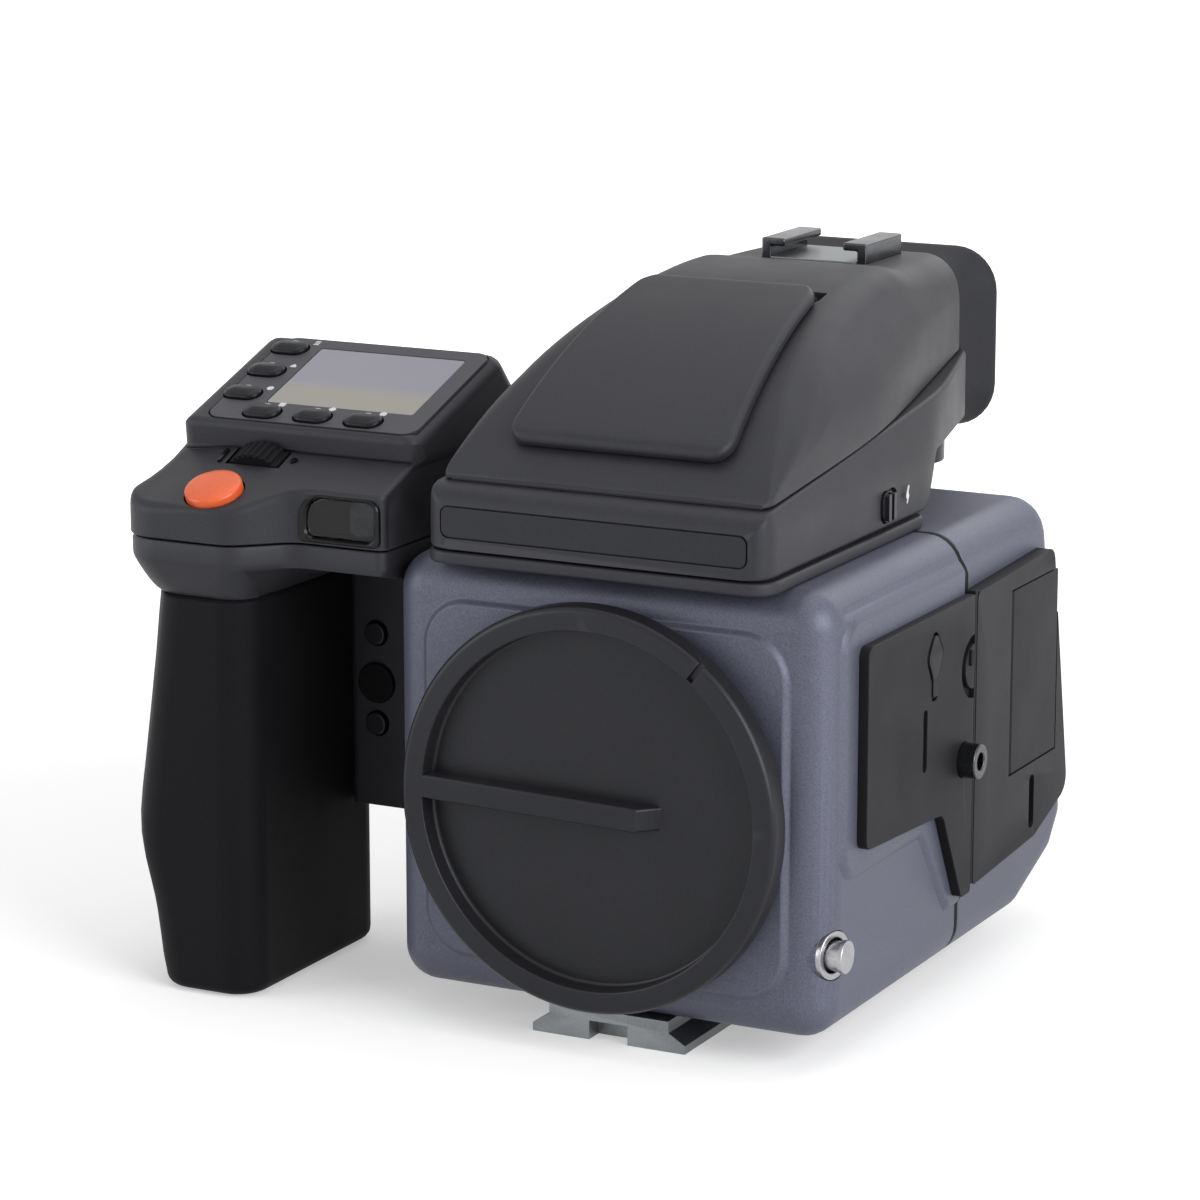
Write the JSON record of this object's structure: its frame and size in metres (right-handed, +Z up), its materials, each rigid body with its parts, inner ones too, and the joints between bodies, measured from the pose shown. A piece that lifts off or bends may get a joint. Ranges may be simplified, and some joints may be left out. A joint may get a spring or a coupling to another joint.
{
  "type": "medium format digital camera",
  "caption": "Modular medium format digital camera with a capped lens mount, prism finder with raised flash lid, digital back and a battery hand grip carrying a sloping display.",
  "frame": {"origin": "mouth of the 1/4 inch tripod thread on the bottom face of the quick release plate", "axes": "+X to the camera's left side, +Y to its rear, +Z up"},
  "size_m": [0.154, 0.1404, 0.14],
  "materials": {
    "body_paint": "satin metallic lacquer on die-cast alloy",
    "black_plastic": "finely grained moulded plastic",
    "satin_plastic": "smooth satin moulding",
    "rubber": "fine grained soft rubber",
    "clear_glass": "polished optical glass",
    "display_glass": "polished cover glass over a dark display",
    "steel": "fine turned and brushed",
    "bright_chrome": "polished plating",
    "die_cast": "tumbled die casting",
    "silvered_glass": "front-silvered",
    "orange_plastic": "satin orange moulding",
    "circuit_board": "solder resist"
  },
  "bodies": {
    "camera": {"body_shell": "body_paint", "back_shell": "body_paint", "side_panel": "black_plastic", "back_side_panel": "black_plastic", "finder_foot": "black_plastic", "finder_base": "black_plastic", "finder_roof": "black_plastic", "nameplate": "black_plastic", "grip_bridge": "black_plastic", "grip_chin": "black_plastic", "grip_head": "black_plastic", "rear_bezel": "black_plastic", "mirror_box": "black_plastic", "sync_socket": "black_plastic", "card_socket": "satin_plastic", "lcd_bezel": "satin_plastic", "eyecup": "rubber", "remote_port": "rubber", "focusing_screen": "clear_glass", "pentaprism": "clear_glass", "eyepiece_lens": "clear_glass", "rear_display": "display_glass", "lcd_window": "display_glass", "assist_window": "display_glass", "image_sensor": "display_glass", "hinge_pins": "steel", "screws": "steel", "wheel_axles": "steel", "shoe_rails": "steel", "lens_mount_ring": "steel", "release_collar": "bright_chrome", "quick_release_plate": "die_cast", "shoe_plate": "die_cast", "sensor_board": "circuit_board"},
    "lens_cap": {"lens_cap": "black_plastic"},
    "release_button": {"release_button": "bright_chrome"},
    "reflex_mirror": {"reflex_mirror": "silvered_glass"},
    "port_flap": {"port_flap": "rubber"},
    "card_door": {"card_door": "black_plastic"},
    "flash_unit": {"flash_lid": "black_plastic", "flash_lamp": "clear_glass"},
    "flash_catch": {"flash_catch": "satin_plastic"},
    "dioptre_knob": {"dioptre_knob": "satin_plastic"},
    "shutter_button": {"shutter_button": "orange_plastic"},
    "front_wheel": {"front_wheel": "satin_plastic"},
    "rear_wheel": {"rear_wheel": "satin_plastic"},
    "mirror_up_button": {"mirror_up_button": "satin_plastic"},
    "stop_down_button": {"stop_down_button": "satin_plastic"},
    "battery_grip": {"battery_grip": "rubber", "battery_cell": "satin_plastic"},
    "back_key_1": {"back_key_1": "satin_plastic"},
    "back_key_2": {"back_key_2": "satin_plastic"},
    "back_key_3": {"back_key_3": "satin_plastic"},
    "back_key_4": {"back_key_4": "satin_plastic"},
    "display_button_1": {"display_button_1": "satin_plastic"},
    "display_button_2": {"display_button_2": "satin_plastic"},
    "display_button_3": {"display_button_3": "satin_plastic"},
    "display_button_4": {"display_button_4": "satin_plastic"},
    "display_button_5": {"display_button_5": "satin_plastic"},
    "display_button_6": {"display_button_6": "satin_plastic"}
  },
  "joints": [
    {"name": "cap_twist", "type": "hinge", "parent": "camera", "child": "lens_cap", "pos_m": [0, -0.034, 0.047], "axis": [0, -1, 0], "range_deg": [0, 60]},
    {"name": "lens_release_press", "type": "slide", "parent": "camera", "child": "release_button", "axis": [-1, 0, 0], "range_m": [0, 0.0015], "stiffness_N_per_m": 600},
    {"name": "mirror_flip", "type": "hinge", "parent": "camera", "child": "reflex_mirror", "pos_m": [0, 0.023, 0.078], "axis": [-1, 0, 0], "range_deg": [0, 45], "stiffness_Nm_per_rad": 0.01},
    {"name": "port_flap_peel", "type": "hinge", "parent": "camera", "child": "port_flap", "pos_m": [0.0476, 0.0095, 0.0636], "axis": [0, 1, 0], "range_deg": [0, 70], "stiffness_Nm_per_rad": 0.0005},
    {"name": "card_door_swing", "type": "hinge", "parent": "camera", "child": "card_door", "pos_m": [0.047, 0.0491, 0.05725], "axis": [0, 0, -1], "range_deg": [0, 100]},
    {"name": "flash_raise", "type": "hinge", "parent": "camera", "child": "flash_unit", "pos_m": [0, 0.022, 0.13334], "axis": [-1, 0, 0], "range_deg": [0, 50]},
    {"name": "flash_catch_slide", "type": "slide", "parent": "camera", "child": "flash_catch", "axis": [0, 1, 0], "range_m": [0, 0.002], "stiffness_N_per_m": 300},
    {"name": "dioptre_turn", "type": "hinge", "parent": "camera", "child": "dioptre_knob", "pos_m": [0.0195, 0.064, 0.1], "axis": [0, 0, 1], "range_deg": [-120, 120]},
    {"name": "shutter_press", "type": "slide", "parent": "camera", "child": "shutter_button", "axis": [0, 0.3875, -0.9219], "range_m": [0, 0.0012], "stiffness_N_per_m": 500},
    {"name": "front_wheel_turn", "type": "hinge", "parent": "camera", "child": "front_wheel", "pos_m": [-0.0774, -0.02425, 0.09946], "axis": [0, 0.9219, 0.3875], "continuous": true},
    {"name": "rear_wheel_turn", "type": "hinge", "parent": "camera", "child": "rear_wheel", "pos_m": [-0.0774, 0.0138, 0.0995], "axis": [0, 0, 1], "continuous": true},
    {"name": "mirror_up_press", "type": "slide", "parent": "camera", "child": "mirror_up_button", "axis": [0, 1, 0], "range_m": [0, 0.0008], "stiffness_N_per_m": 600},
    {"name": "stop_down_press", "type": "slide", "parent": "camera", "child": "stop_down_button", "axis": [0, 1, 0], "range_m": [0, 0.0008], "stiffness_N_per_m": 600},
    {"name": "back_key_1_press", "type": "slide", "parent": "camera", "child": "back_key_1", "axis": [0, -0.9823, -0.1874], "range_m": [0, 0.0005], "stiffness_N_per_m": 600},
    {"name": "back_key_2_press", "type": "slide", "parent": "camera", "child": "back_key_2", "axis": [0, -0.9823, -0.1874], "range_m": [0, 0.0005], "stiffness_N_per_m": 600},
    {"name": "back_key_3_press", "type": "slide", "parent": "camera", "child": "back_key_3", "axis": [0, -0.9823, -0.1874], "range_m": [0, 0.0005], "stiffness_N_per_m": 600},
    {"name": "back_key_4_press", "type": "slide", "parent": "camera", "child": "back_key_4", "axis": [0, -0.9823, -0.1874], "range_m": [0, 0.0005], "stiffness_N_per_m": 600},
    {"name": "display_button_1_press", "type": "slide", "parent": "camera", "child": "display_button_1", "axis": [0, 0.3239, -0.9461], "range_m": [0, 0.0006], "stiffness_N_per_m": 600},
    {"name": "display_button_2_press", "type": "slide", "parent": "camera", "child": "display_button_2", "axis": [0, 0.3239, -0.9461], "range_m": [0, 0.0006], "stiffness_N_per_m": 600},
    {"name": "display_button_3_press", "type": "slide", "parent": "camera", "child": "display_button_3", "axis": [0, 0.3239, -0.9461], "range_m": [0, 0.0006], "stiffness_N_per_m": 600},
    {"name": "display_button_4_press", "type": "slide", "parent": "camera", "child": "display_button_4", "axis": [0, 0.3239, -0.9461], "range_m": [0, 0.0006], "stiffness_N_per_m": 600},
    {"name": "display_button_5_press", "type": "slide", "parent": "camera", "child": "display_button_5", "axis": [0, 0.3239, -0.9461], "range_m": [0, 0.0006], "stiffness_N_per_m": 600},
    {"name": "display_button_6_press", "type": "slide", "parent": "camera", "child": "display_button_6", "axis": [0, 0.3239, -0.9461], "range_m": [0, 0.0006], "stiffness_N_per_m": 600},
    {"name": "battery_slide", "type": "slide", "parent": "camera", "child": "battery_grip", "axis": [0, 0, -1], "range_m": [0, 0.085]}
  ]
}
